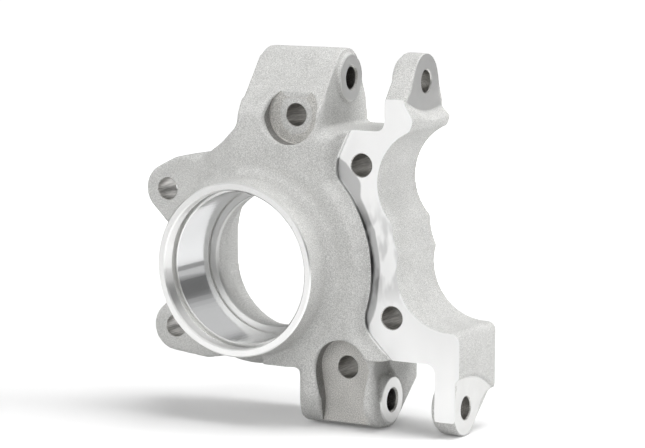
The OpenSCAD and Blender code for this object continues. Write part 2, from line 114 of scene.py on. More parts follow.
class Graph:
    """The node tree of one material or world, built node by node."""

    def __init__(self, tree: bpy.types.NodeTree) -> None:
        """Keeps the tree and empties it."""
        self.tree = tree
        tree.nodes.clear()

    def node(self, kind: str, settings: Optional[dict[str, Any]] = None,
             **inputs: Any) -> bpy.types.Node:
        """Adds a node, sets it and feeds its sockets.

        Args:
            kind: Type of the node, such as "ShaderNodeTexNoise".
            settings: Attributes of the node, set before its sockets.
            **inputs: Values or links by socket name, with _ for a blank, or by s0, s1 for a place.

        Returns:
            The new node.
        """
        new = self.tree.nodes.new(kind)
        for name, value in (settings or {}).items():
            setattr(new, name, value)
        for name, value in inputs.items():
            place = name[1:] if name[0] == "s" and name[1:].isdigit() else ""
            socket = new.inputs[int(place)] if place else new.inputs[name.replace("_", " ")]
            self.feed(socket, value)
        return new

    def feed(self, socket: bpy.types.NodeSocket, value: Any) -> None:
        """Links a socket or sets its value.

        Args:
            socket: Input socket.
            value: Level, output socket, number or sequence.
        """
        if isinstance(value, Level):
            value = value.socket
        if isinstance(value, bpy.types.NodeSocket):
            self.tree.links.new(value, socket)
        elif socket.type == "RGBA" and len(value) == 3:
            socket.default_value = (*value, 1.0)
        else:
            socket.default_value = value

    def maths(self, operation: str, *values: Operand, clamp: bool = False) -> Level:
        """Adds a Math node.

        Args:
            operation: Operation of the node.
            *values: Its operands in order.
            clamp: True to hold the result between 0 and 1.

        Returns:
            The node's result.
        """
        node = self.node("ShaderNodeMath", {"operation": operation, "use_clamp": clamp})
        for socket, value in zip(node.inputs, values):
            self.feed(socket, value)
        return Level(self, node.outputs[0])

    def ramp(self, value: Operand, low: Operand, high: Operand,
             to_low: float = 0.0, to_high: float = 1.0) -> Level:
        """Maps a level smoothly from low..high to to_low..to_high.

        Args:
            value: Level to map.
            low: Level that gives to_low.
            high: Level that gives to_high.
            to_low: Result at low.
            to_high: Result at high.

        Returns:
            The mapped level, held at both ends.
        """
        settings = {"interpolation_type": "SMOOTHSTEP", "clamp": True}
        node = self.node("ShaderNodeMapRange", settings)
        for socket, item in zip(node.inputs, (value, low, high, to_low, to_high)):
            self.feed(socket, item)
        return Level(self, node.outputs[0])

    def noise(self, place: Any, scale: float, detail: float = 3.0,
              roughness: float = 0.55) -> Level:
        """Adds a noise texture.

        Args:
            place: Vector socket that gives the place on the object.
            scale: Cells per metre.
            detail: Octaves.
            roughness: Share of the finer octaves.

        Returns:
            The noise level, about 0.5.
        """
        node = self.node("ShaderNodeTexNoise", {"noise_dimensions": "3D"}, Vector=place,
                         Scale=scale, Detail=detail, Roughness=roughness)
        return Level(self, node.outputs["Fac"])

    def lines(self, **along: Operand) -> Level:
        """Noise that changes only with the levels given for X, Y or Z."""
        return self.noise(self.node("ShaderNodeCombineXYZ", **along).outputs[0], 1.0, 2.0)

    def cloud(self, place: Any, cells: Point, detail: float = 2.0) -> Level:
        """Noise with its own number of cells per metre along each axis."""
        stretch = self.node("ShaderNodeVectorMath", {"operation": "MULTIPLY"}, s0=place, s1=cells)
        return self.noise(stretch.outputs[0], 1.0, detail)

    def mix(self, factor: Operand, first: Any, second: Any) -> bpy.types.NodeSocket:
        """Mixes two colours.

        Args:
            factor: Share of the second colour.
            first: First colour.
            second: Second colour.

        Returns:
            The colour socket.
        """
        node = self.node("ShaderNodeMix", {"data_type": "RGBA"})
        self.feed(node.inputs[0], factor)
        self.feed(node.inputs[6], first)
        self.feed(node.inputs[7], second)
        return node.outputs[2]

    def place(self) -> bpy.types.NodeSocket:
        """Object coordinates of the shaded point, in metres."""
        return self.node("ShaderNodeTexCoord").outputs["Object"]

    def axes(self, place: Any) -> tuple[Level, ...]:
        """Splits a vector into its three levels."""
        node = self.node("ShaderNodeSeparateXYZ", Vector=place)
        return tuple(Level(self, out) for out in node.outputs)

    def rays(self) -> tuple[Level, Level]:
        """Finds what kind of ray is traced.

        Returns:
            1 for rays of the camera, and 1 for rays mirrored or let through by the object.
        """
        path = self.node("ShaderNodeLightPath")
        seen, glossy, passed = (Level(self, path.outputs[f"Is {kind} Ray"])
                                for kind in ("Camera", "Glossy", "Transmission"))
        return seen, glossy + passed


@dataclass(frozen=True)
class Finish:
    """A metal finish of the knuckle.

    Attributes:
        name: Name of the material.
        colour: Mean colour of the metal, linear.
        roughness: Mean roughness.
        metallic: Share of bare metal in the reflection.
        shades: Darkest and lightest share of the colour.
    """

    name: str
    colour: Point
    roughness: float
    metallic: float = 1.0
    shades: Pair = (1.0, 1.0)

    def material(self) -> bpy.types.Material:
        """Builds the material.

        Returns:
            The material, with its nodes.
        """
        material = bpy.data.materials.new(self.name)
        material.use_nodes = True
        graph = Graph(material.node_tree)
        shader = graph.node("ShaderNodeBsdfPrincipled", Metallic=self.metallic)
        self.dress(graph, shader)
        graph.node("ShaderNodeOutputMaterial", Surface=shader.outputs[0])
        return material

    def dress(self, graph: Graph, shader: bpy.types.Node) -> None:
        """Feeds the shader with colour, roughness and relief."""
        raise NotImplementedError

    def toned(self, graph: Graph, level: Operand) -> bpy.types.NodeSocket:
        """Colour of the finish between its two shades.

        Args:
            graph: Graph to add to.
            level: Mix level between the shades.

        Returns:
            The colour socket.
        """
        dark, light = (tuple(min(1.0, c * share) for c in self.colour) for share in self.shades)
        return graph.mix(level, dark, light)

    def coat(self, graph: Graph, shader: bpy.types.Node, tone: Operand, roughness: Operand,
             height: Operand, strength: float, depth: float) -> None:
        """Joins the patterns to the shader.

        Args:
            graph: Graph to add to.
            shader: Shader of the material.
            tone: Mix level between the shades.
            roughness: Roughness over the surface.
            height: Height of the relief, from 0 to 1.
            strength: Strength of the relief.
            depth: Depth of the relief, in metres.
        """
        graph.feed(shader.inputs["Base Color"], self.toned(graph, tone))
        graph.feed(shader.inputs["Roughness"], roughness)
        bump = graph.node("ShaderNodeBump", Strength=strength, Distance=depth, Height=height)
        graph.feed(shader.inputs["Normal"], bump.outputs[0])


@dataclass(frozen=True)
class BlastedCasting(Finish):
    """Sand cast skin, shot blasted to an even fine grain.

    Attributes:
        grain_cells: Cells of the sand grain per metre.
        fine_cells: Cells of the blasting marks per metre.
        blotch_cells: Cells of the faint blotches per metre.
        sand_depth: Depth of the sand relief, in metres.
    """

    name: str = "blasted_casting"
    colour: Point = (0.66, 0.66, 0.645)
    roughness: float = 0.6
    metallic: float = 0.38
    shades: Pair = (0.66, 1.22)
    grain_cells: float = 1750
    fine_cells: float = 4600
    blotch_cells: float = 70
    sand_depth: float = 0.0004

    def dress(self, graph: Graph, shader: bpy.types.Node) -> None:
        """Fine grain, faint blotches and a soft sand relief.

        Args:
            graph: Graph to add to.
            shader: Shader of the material.
        """
        place = graph.place()
        grain = graph.noise(place, self.grain_cells, 3.0, 0.65)
        fine = graph.noise(place, self.fine_cells, 2.0, 0.6)
        blotch = graph.noise(place, self.blotch_cells, 3.0, 0.5)
        speckle = graph.ramp(grain * 0.6 + fine * 0.4, 0.36, 0.66)
        tone = graph.ramp(speckle * 0.75 + blotch * 0.3, 0.1, 0.95)
        relief = grain * 0.7 + fine * 0.3 + blotch * 0.4
        self.coat(graph, shader, tone, self.roughness - 0.08 + 0.14 * speckle, relief,
                  0.5, self.sand_depth)


@dataclass(frozen=True)
class SeatFloor(BlastedCasting):
    """Floors of the round seats and of the channel, blasted after cutting and a little warmer,
    with painted shade on their walls.

    Attributes:
        wall_start: Depth (y) at which a floor turns up into its wall, in metres.
        wall_shade_reach: Distance over which the painted shade on the wall rises, in metres.
        wall_shade_share: Share of the colour left on the wall by the painted shade.
        spread: Contrast of the grain against that of the cast skin.
    """

    name: str = "blasted_seat"
    colour: Point = (0.62, 0.61, 0.585)
    wall_start: float = -0.0002
    wall_shade_reach: float = 0.0006
    wall_shade_share: float = 0.45
    spread: float = 1.3

    def toned(self, graph: Graph, level: Operand) -> bpy.types.NodeSocket:
        """Colour of the finish, with painted shade where the cut turns up into its wall.

        Args:
            graph: Graph to add to.
            level: Mix level between the shades.

        Returns:
            The colour socket.
        """
        low, high = self.shades
        _, depth, _ = graph.axes(graph.place())
        # Painted shade: the colour darkens on the wall of each seat and of the channel, where the
        # recess would be in shade.
        wall = graph.ramp(depth, self.wall_start - self.wall_shade_reach, self.wall_start,
                          self.wall_shade_share, 1.0)
        share = ((level - 0.5) * (self.spread * (high - low)) + 0.5 * (high + low)) * wall
        lightest = tuple(min(1.0, c * high) for c in self.colour)
        return graph.mix(share * (1 / high), (0.0, 0.0, 0.0), lightest)


@dataclass(frozen=True)
class MilledFace(Finish):
    """Flat face cut by a large milling head, with faint arcs, a turned band whose darker tone is
    partly painted reflection, and painted shade towards the bottom.

    Attributes:
        sweep: Centre (x, z) of the cutter's arcs, in metres.
        arc_cells: Arcs per metre.
        ring_cells: Rings of the turned band per metre.
        band_edge: Outer radius of the turned band, in metres.
    """

    name: str = "milled_face"
    colour: Point = (0.9, 0.9, 0.895)
    roughness: float = 0.34
    shades: Pair = (0.2, 1.0)
    sweep: Pair = (0.16, -0.16)
    arc_cells: float = 9000
    ring_cells: float = 5200
    band_edge: float = 0.0768

    def dress(self, graph: Graph, shader: bpy.types.Node) -> None:
        """Cutter arcs about a far centre, the turned band round the bore with partly painted
        darkening, and painted shade low on the face.

        Args:
            graph: Graph to add to.
            shader: Shader of the material.
        """
        place = graph.place()
        x, _, z = graph.axes(place)
        away = graph.maths("SQRT", (x - self.sweep[0]) ** 2 + (z - self.sweep[1]) ** 2)
        arcs = graph.lines(X=away * self.arc_cells)
        radius = graph.maths("SQRT", x * x + z * z)
        rings = graph.lines(X=radius * self.ring_cells)
        wave = graph.cloud(place, (130.0, 0.0, 55.0))
        edge = self.band_edge + graph.ramp(z, 0.04, 0.052, 0.0, 0.005)
        # The turned band is real, but its darker tone is partly a painted reflection, standing in
        # for how the band reflects differently from the rest of the face.
        band = graph.ramp(radius + (wave - 0.5) * 0.003, edge, edge - 0.0012)
        streak = (graph.ramp(wave, 0.42, 0.6) * graph.ramp(z, 0.045, 0.025)
                  * graph.ramp(z, -0.022, -0.004))
        # Painted shade: the face is darkened towards its bottom, where less light falls and
        # reflects, and a cloud varies that shade.
        low_shade_cloud = graph.ramp(graph.cloud(place, (26.0, 0.0, 9.0)), 0.3, 0.7)
        low = graph.ramp(z, 0.05, -0.03)
        painted_shade_and_marks = low * (0.12 + 0.16 * low_shade_cloud) + band * (0.42 + 0.2 * rings) + streak * 0.3
        tone = graph.maths("SUBTRACT", 1.0, painted_shade_and_marks, clamp=True)
        self.coat(graph, shader, tone, self.roughness + 0.08 * arcs - 0.05 * band,
                  arcs + band * rings, 0.08, 0.00005)


@dataclass(frozen=True)
class FacedPad(Finish):
    """Satin face of a spot-faced pad or a milled ear.

    Attributes:
        mark_cells: Cells of the feed marks per metre along each axis.
        cloud_cells: Cells of the mottling per metre.
    """

    name: str = "faced_pad"
    colour: Point = (0.72, 0.72, 0.71)
    roughness: float = 0.36
    shades: Pair = (0.9, 1.08)
    mark_cells: Point = (1.0, 260.0, 2600.0)
    cloud_cells: float = 140

    def dress(self, graph: Graph, shader: bpy.types.Node) -> None:
        """Fine straight feed marks with a little mottling.

        Args:
            graph: Graph to add to.
            shader: Shader of the material.
        """
        place = graph.place()
        marks = graph.cloud(place, self.mark_cells)
        cloud = graph.noise(place, self.cloud_cells)
        self.coat(graph, shader, cloud * 0.6 + marks * 0.4,
                  self.roughness - 0.06 + 0.14 * marks, marks, 0.1, 0.00006)


@dataclass(frozen=True)
class TurnedRing(Finish):
    """Metal turned about the bore's axis: ring face, mouth and groove.

    Attributes:
        line_cells: Turning lines per metre.
        cloud_cells: Cells of the mottling per metre.
    """

    name: str = "turned_ring"
    colour: Point = (0.88, 0.88, 0.87)
    roughness: float = 0.28
    shades: Pair = (0.92, 1.06)
    line_cells: float = 7000
    cloud_cells: float = 160

    def dress(self, graph: Graph, shader: bpy.types.Node) -> None:
        """Fine rings and lines that follow the turning.

        Args:
            graph: Graph to add to.
            shader: Shader of the material.
        """
        place = graph.place()
        x, y, z = graph.axes(place)
        radius = graph.maths("SQRT", x * x + z * z)
        lines = graph.lines(X=radius * self.line_cells, Y=y * self.line_cells)
        cloud = graph.noise(place, self.cloud_cells)
        self.coat(graph, shader, cloud * 0.5 + lines * 0.5,
                  self.roughness - 0.05 + 0.12 * lines, lines, 0.12, 0.00005)


@dataclass(frozen=True)
class TurnedStep(TurnedRing):
    """Inner shoulder of the bore, turned more coarsely than the ring."""

    name: str = "turned_step"
    colour: Point = (0.6, 0.6, 0.59)
    roughness: float = 0.42


@dataclass(frozen=True)
class HonedSeat(Finish):
    """Bearing seat, bored fine enough to mirror its surroundings.

    Attributes:
        hoop_cells: Hoop lines per metre along the bore.
        cloud_cells: Cells of the mottling per metre.
    """

    name: str = "honed_seat"
    colour: Point = (0.7, 0.705, 0.71)
    roughness: float = 0.13
    shades: Pair = (0.94, 1.05)
    hoop_cells: float = 9000
    cloud_cells: float = 45

    def dress(self, graph: Graph, shader: bpy.types.Node) -> None:
        """Very fine hoop lines, almost smooth.

        Args:
            graph: Graph to add to.
            shader: Shader of the material.
        """
        place = graph.place()
        _, y, _ = graph.axes(place)
        hoops = graph.lines(Y=y * self.hoop_cells)
        cloud = graph.noise(place, self.cloud_cells, 2.0)
        self.coat(graph, shader, cloud * 0.6 + hoops * 0.4,
                  self.roughness - 0.03 + 0.08 * hoops, hoops, 0.05, 0.00003)


@dataclass(frozen=True)
class DrilledWall(Finish):
    """Inner wall of a drilled hole.

    Attributes:
        streak_cells: Cells of the drill's streaks per metre along each axis.
    """

    name: str = "drilled_wall"
    colour: Point = (0.60, 0.59, 0.57)
    roughness: float = 0.32
    shades: Pair = (0.6, 1.15)
    streak_cells: Point = (1500.0, 90.0, 1500.0)

    def dress(self, graph: Graph, shader: bpy.types.Node) -> None:
        """Streaks left by the drill, all round the wall.

        Args:
            graph: Graph to add to.
            shader: Shader of the material.
        """
        streaks = graph.cloud(graph.place(), self.streak_cells, 3.0)
        self.coat(graph, shader, graph.ramp(streaks, 0.3, 0.7),
                  self.roughness - 0.08 + 0.2 * streaks, streaks, 0.2, 0.0001)


class Skin(Enum):
    """The finishes of the knuckle."""

    CAST = BlastedCasting()
    MILLED = MilledFace()
    PAD = FacedPad()
    TURNED = TurnedRing()
    SEAT = HonedSeat()
    DRILLED = DrilledWall()
    FLOOR = SeatFloor()
    STEP = TurnedStep()


class Axis(Enum):
    """The directions that round shapes turn about."""

    X = (1, 0, 0)
    Y = (0, 1, 0)


class Joining(Enum):
    """Whether a solid is cut away or added."""

    CUT = "DIFFERENCE"
    ADD = "UNION"


class Workshop:
    """Meshes made by operators, and the joining and cutting of solids."""

    def __init__(self) -> None:
        """Builds every finish once."""
        self.materials = {skin: skin.value.material() for skin in Skin}

    def thing(self, name: str, shape: bmesh.types.BMesh,
              skin: Optional[Skin] = None) -> bpy.types.Object:
        """Turns a bmesh into an object at the origin.

        Args:
            name: Name of the object.
            shape: Mesh to keep; it is freed.
            skin: Finish of all its faces.

        Returns:
            The new object.
        """
        mesh = bpy.data.meshes.new(name)
        shape.to_mesh(mesh)
        shape.free()
        item = bpy.data.objects.new(name, mesh)
        bpy.context.scene.collection.objects.link(item)
        if skin is not None:
            mesh.materials.append(self.materials[skin])
        return item

    def turned(self, name: str, profile: Sequence[Pair], centre: Point, axis: Axis,
               skin: Optional[Skin] = None) -> bpy.types.Object:
        """Spins a profile of (radius, along) points, in millimetres, into a closed solid.

        Args:
            name: Name of the solid.
            profile: Points from the axis out and back to the axis.
            centre: Point on the axis, in millimetres.
            axis: Direction of the axis.
            skin: Finish of all its faces.

        Returns:
            The solid.
        """
        shape = bmesh.new()
        along = Vector(axis.value)
        out = Vector((0, 0, 1))
        verts = [shape.verts.new((Vector(centre) + out * r + along * a) * MM) for r, a in profile]
        edges = [shape.edges.new(pair) for pair in zip(verts, verts[1:])]
        bmesh.ops.spin(shape, geom=verts + edges, cent=Vector(centre) * MM, axis=along,
                       dvec=(0, 0, 0), angle=math.tau, steps=ROUND_STEPS, use_merge=True,
                       use_duplicate=False)
        bmesh.ops.remove_doubles(shape, verts=shape.verts, dist=SPIN_MERGE)
        bmesh.ops.recalc_face_normals(shape, faces=shape.faces)
        return self.thing(name, shape, skin)

    def prism(self, name: str, outline: Sequence[Pair], near: float, far: float,
              skin: Optional[Skin] = None) -> bpy.types.Object:
        """Extrudes an outline of (x, z) points, in millimetres, along Y.

        Args:
            name: Name of the solid.
            outline: Corners in order.
            near: Lowest y.
            far: Highest y.
            skin: Finish of all its faces.

        Returns:
            The solid.
        """
        shape = bmesh.new()
        face = shape.faces.new([shape.verts.new((x * MM, near * MM, z * MM)) for x, z in outline])
        self.pulled(shape, [face], (far - near) * MM)
        bmesh.ops.recalc_face_normals(shape, faces=shape.faces)
        return self.thing(name, shape, skin)

    @staticmethod
    def pulled(shape: bmesh.types.BMesh, faces: list[bmesh.types.BMFace], way: float) -> None:
        """Extrudes faces along Y and keeps the old ones.

        Args:
            shape: Mesh that has the faces.
            faces: Faces to extrude.
            way: Distance along Y, in metres.
        """
        moved = bmesh.ops.extrude_face_region(shape, geom=faces, use_keep_orig=True)["geom"]
        corners = [part for part in moved if isinstance(part, bmesh.types.BMVert)]
        bmesh.ops.translate(shape, vec=(0, way, 0), verts=corners)

    @staticmethod
    def applied(item: bpy.types.Object) -> bpy.types.Object:
        """Applies every modifier of an object.

        Args:
            item: Object with modifiers.

        Returns:
            The same object.
        """
        graph = bpy.context.evaluated_depsgraph_get()
        mesh = bpy.data.meshes.new_from_object(item.evaluated_get(graph), depsgraph=graph)
        old = item.data
        item.modifiers.clear()
        item.data = mesh
        bpy.data.meshes.remove(old)
        return item

    def cut(self, item: bpy.types.Object, cutters: Iterable[bpy.types.Object],
            joining: Joining = Joining.CUT) -> None:
        """Cuts or joins solids one after the other and drops them.

        Args:
            item: Solid that is changed.
            cutters: Solids to take away or to join.
            joining: Whether they are taken away or added.
        """
        tools = list(cutters)
        for number, cutter in enumerate(tools):
            work = item.modifiers.new(f"cut_{number}", "BOOLEAN")
            work.operation = joining.value
            work.solver = "MANIFOLD"
            work.material_mode = "TRANSFER"
            work.object = cutter
        self.applied(item)
        for cutter in tools:
            bpy.data.objects.remove(cutter)


@dataclass
class Hole:
    """A drilled hole.

    Attributes:
        name: Name of the hole.
        centre: Point on the axis at the mouth, in millimetres.
        axis: Direction of the axis.
        depth: Signed depth from the mouth along the axis.
        radius: Radius of the wall.
        chamfer: Width of the chamfer at the mouth.
        far_chamfer: Width of the chamfer at the far side of a through hole.
        blind: True for a hole that ends in a drill point.
        over: Reach of the drill outside the metal.
        point: Height of the drill's point.
        plug_over: Extra radius of the plug that closes the hole for the remeshing.
    """

    name: str
    centre: Point
    axis: Axis
    depth: float
    radius: float = 6.2
    chamfer: float = 0.5
    far_chamfer: float = 0.0
    blind: bool = False
    over: float = 1.5
    point: float = 3.4
    plug_over: float = 0.6

    def plug(self, workshop: Workshop) -> bpy.types.Object:
        """Solid rod that closes the hole before the casting is smoothed.

        Args:
            workshop: Maker of the solids.

        Returns:
            The rod.
        """
        wide = self.radius + self.plug_over
        end = self.depth + (math.copysign(1.0, self.depth) if self.blind else 0.0)
        profile = [(0.0, 0.0), (wide, 0.0), (wide, end), (0.0, end)]
        return workshop.turned(f"plug_{self.name}", profile, self.centre, self.axis)

    def cutter(self, workshop: Workshop) -> bpy.types.Object:
        """Drill with its countersink at the mouth.

        Args:
            workshop: Maker of the solids.

        Returns:
            The drill.
        """
        sign = math.copysign(1.0, self.depth)
        start = -self.over * sign
        end = self.depth if self.blind else self.depth + self.over * sign
        wide = self.radius + self.chamfer + self.over
        profile = [(0.0, start), (wide, start), (self.radius, self.chamfer * sign)]
        if self.far_chamfer:
            profile += [(self.radius, self.depth - self.far_chamfer * sign),
                        (self.radius + self.far_chamfer + self.over, end)]
        else:
            profile += [(self.radius, end)]
        profile += [(0.0, end + (self.point * sign if self.blind else 0.0))]
        return workshop.turned(f"drill_{self.name}", profile, self.centre, self.axis, Skin.DRILLED)


@dataclass
class Stretch:
    """A stretch of the casting where the rounding of the edges differs.

    Attributes:
        start: First end, in millimetres.
        end: Other end, in millimetres.
        reach: Distance from the stretch at which its weight ends.
        slope: Steepness of the weight.
    """

    start: Point
    end: Point
    reach: float
    slope: float = 1.6

    def weight(self, places: np.ndarray) -> np.ndarray:
        """Weight of points, 1 on the stretch and 0 past its reach.

        Args:
            places: Points in millimetres, one a row.

        Returns:
            One weight a point.
        """
        first, last = np.array(self.start, float), np.array(self.end, float)
        along = last - first
        share = np.clip((places - first) @ along / (along @ along), 0.0, 1.0)
        gap = np.linalg.norm(places - first - share[:, None] * along, axis=1)
        return np.clip(self.slope * (1.0 - gap / self.reach), 0.0, 1.0)


@dataclass
class BearingHousing:
    """Ring, bore, seat, groove and shoulder of the wheel bearing.

    Attributes:
        face: Position of the ring's front face.
        ring: Outer radius of the ring.
        ring_edge: Width of the ring's turned outer edge.
        mouth: Radius of the mouth.
        mouth_edge: Chamfer of the mouth.
        seat: Radius of the seat.
        seat_start: Front end of the seat.
        seat_end: Rear end of the seat.
        honing: Layer that the boring bar leaves for the honing.
        groove: Radius of the retaining groove.
        groove_width: Width of the groove.
        undercut: Depth and width of the relief between seat and shoulder.
        shoulder: Radius inside the shoulder.
        shoulder_edge: Chamfer of the shoulder.
        shoulder_end: Rear end of the shoulder.
    """

    face: float = -28.5
    ring: float = 48.5
    ring_edge: float = 0.6
    mouth: float = 44.2
    mouth_edge: float = 0.7
    seat: float = 42.5
    seat_start: float = -17.8
    seat_end: float = 17.8
    honing: float = 0.3
    groove: float = 46.2
    groove_width: float = 2.6
    undercut: Pair = (0.5, 1.1)
    shoulder: float = 38.2
    shoulder_edge: float = 0.4
    shoulder_end: float = 21.3

    def stock(self, workshop: Workshop) -> list[bpy.types.Object]:
        """Solid core that the boring takes away again.

        Args:
            workshop: Maker of the solids.

        Returns:
            The core.
        """
        front, end = self.face - 1.5, self.shoulder_end
        profile = [(0.0, front), (self.ring, front), (self.ring + 0.2, self.face + 2.0),
                   (self.ring - self.ring_edge, end), (0.0, end)]
        return [workshop.turned("core", profile, (0, 0, 0), Axis.Y)]

    def facing(self) -> list[Pair]:
        """Profile of the cut that faces the ring and turns its outer edge.

        Returns:
            Points (radius, along).
        """
        front, wide = self.face - 8, 56.0
        return [(0.0, front), (wide, front), (wide, self.face + 8.1),
                (self.ring - self.ring_edge, self.face), (0.0, self.face)]

    def boring(self) -> list[Pair]:
        """Profile of the boring bar, from the mouth to the end of the seat.

        Returns:
            Points (radius, along).
        """
        front, start = self.face - 2, self.seat_start - self.groove_width
        bored, relief = self.seat - self.honing, self.seat + self.undercut[0]
        relief_start, relief_end = self.seat_end - self.undercut[1], self.seat_end - 0.4
        return [(0.0, front), (self.mouth + self.mouth_edge + 2.0, front),
                (self.mouth, self.face + self.mouth_edge), (self.mouth, start - 0.3),
                (self.mouth + 0.3, start), (self.groove, start), (self.groove, self.seat_start),
                (self.seat + 0.5, self.seat_start), (bored, self.seat_start + 0.8),
                (bored, self.seat_end - 1.4), (relief, relief_start), (relief, relief_end),
                (0.0, relief_end)]

    def step(self) -> list[Pair]:
        """Profile of the cut that turns the shoulder.

        Returns:
            Points (radius, along).
        """
        start, seat, end = self.seat_end - 0.6, self.seat_end, self.shoulder_end
        wide, behind = self.seat + self.undercut[0] - 0.05, self.shoulder + 0.5
        return [(0.0, start), (wide, start), (wide, seat),
                (self.shoulder + self.shoulder_edge, seat),
                (self.shoulder, seat + self.shoulder_edge), (self.shoulder, end - 0.2),
                (behind, end + 0.3), (behind, end + 1.4), (0.0, end + 1.4)]

    def honed(self) -> list[Pair]:
        """Profile of the honing that leaves the seat."""
        start, end = self.seat_start + 0.35, self.seat_end - self.undercut[1]
        return [(0.0, start), (self.seat, start), (self.seat, end), (0.0, end)]

    def cutters(self, workshop: Workshop) -> list[bpy.types.Object]:
        """Facing cut, boring bar, shoulder cut and the finer cut of the seat.

        Args:
            workshop: Maker of the solids.

        Returns:
            The cutters in order.
        """
        cuts = [("facing", self.facing(), Skin.TURNED), ("boring", self.boring(), Skin.TURNED),
                ("shoulder", self.step(), Skin.STEP), ("honing", self.honed(), Skin.SEAT)]
        return [workshop.turned(name, profile, (0, 0, 0), Axis.Y, skin)
                for name, profile, skin in cuts]


@dataclass
class CaliperFace:
    """Flat face of the caliper bracket and the wall where its cut ends.

    Attributes:
        wall: Radius of the crescent's wall.
        stock_depth: Thickness of the layer that the milling takes away.
        sunk: Depth to which that layer reaches into the bracket.
        inner_side: Least x of the bracket's face, in metres.
        relief: Width and depth of the narrow relief along the walls.
        block: Outline of the milled block.
        edge: Corners of the shoulder above and below the crescent.
    """

    wall: float = 71.9
    stock_depth: float = 2.0
    sunk: float = 0.4
    inner_side: float = 0.045
    relief: Pair = (0.5, 0.6)
    block: tuple[Pair, ...] = ((30, -100), (140, -100), (140, 130), (30, 130))
    edge: tuple[Pair, ...] = (
        (57.7, 78.6), (51.6, 64.9), (50.4, 61.5), (50.1, 58.5), (50.1, 55.6), (50.4, 53.2),
        (51.3, 50.9), (52.8, 48.8), (40.0, 40.0), (40.0, -20.0), (69.0, -19.9), (68.4, -22.4),
        (68.2, -24.6), (68.3, -27.0), (68.9, -29.8), (70.1, -32.6), (72.3, -35.5), (84.6, -47.8))

    def milled(self, face: bmesh.types.BMFace) -> bool:
        """True for the faces of the bracket's front plane."""
        flat = face.normal.y < -0.999 and all(abs(v.co.y) < 2e-5 for v in face.verts)
        return flat and face.calc_center_median().x > self.inner_side

    def stock(self, workshop: Workshop, node: bpy.types.Object) -> list[bpy.types.Object]:
        """Layer over the flat face, raised from the face itself.

        Args:
            workshop: Maker of the solids.
            node: Casting that has the face.

        Returns:
            The layer.
        """
        shape = bmesh.new()
        shape.from_mesh(node.data)
        bmesh.ops.remove_doubles(shape, verts=shape.verts, dist=MERGE)
        others = [face for face in shape.faces if not self.milled(face)]
        bmesh.ops.delete(shape, geom=others, context="FACES")
        faces = list(shape.faces)
        workshop.pulled(shape, faces, -self.stock_depth * MM)
        bmesh.ops.reverse_faces(shape, faces=faces)
        corners = list({vert for face in faces for vert in face.verts})
        bmesh.ops.translate(shape, vec=(0, self.sunk * MM, 0), verts=corners)
        bmesh.ops.recalc_face_normals(shape, faces=shape.faces)
        return [workshop.thing("face_stock", shape)]

    def path(self, workshop: Workshop, name: str, shift: float, near: float,
             far: float) -> bpy.types.Object:
        """Block over the face, kept off the crescent and both shoulders.

        Args:
            workshop: Maker of the solids.
            name: Name of the block.
            shift: Extra distance from the walls.
            near: Lowest y.
            far: Highest y.

        Returns:
            The block.
        """
        front, back = near - 6, far + 4
        block = workshop.prism(name, self.block, near, far, Skin.MILLED)
        edge = [(x + shift, z) for x, z in self.edge]
        outline = [(20, 140), (edge[0][0], 140), *edge, (edge[-1][0], -110), (20, -110)]
        lugs = workshop.prism("keep_lugs", outline, front, back, Skin.MILLED)
        radius = self.wall + shift
        round_profile = [(0, front), (radius, front), (radius, back), (0, back)]
        crescent = workshop.turned("keep_crescent", round_profile, (0, 0, 0), Axis.Y, Skin.MILLED)
        workshop.cut(block, [lugs, crescent])
        return block

    def cutters(self, workshop: Workshop) -> list[bpy.types.Object]:
        """Milling head's path, and the narrow relief that its corner leaves along the walls.

        Args:
            workshop: Maker of the solids.

        Returns:
            The cutters in order.
        """
        width, depth = self.relief
        relief = self.path(workshop, "relief", 0.0, -1.0, depth)
        workshop.cut(relief, [self.path(workshop, "relief_core", width, -3.0, 2.0)])
        return [self.path(workshop, "milling", 0.0, -24.0, 0.0), relief]


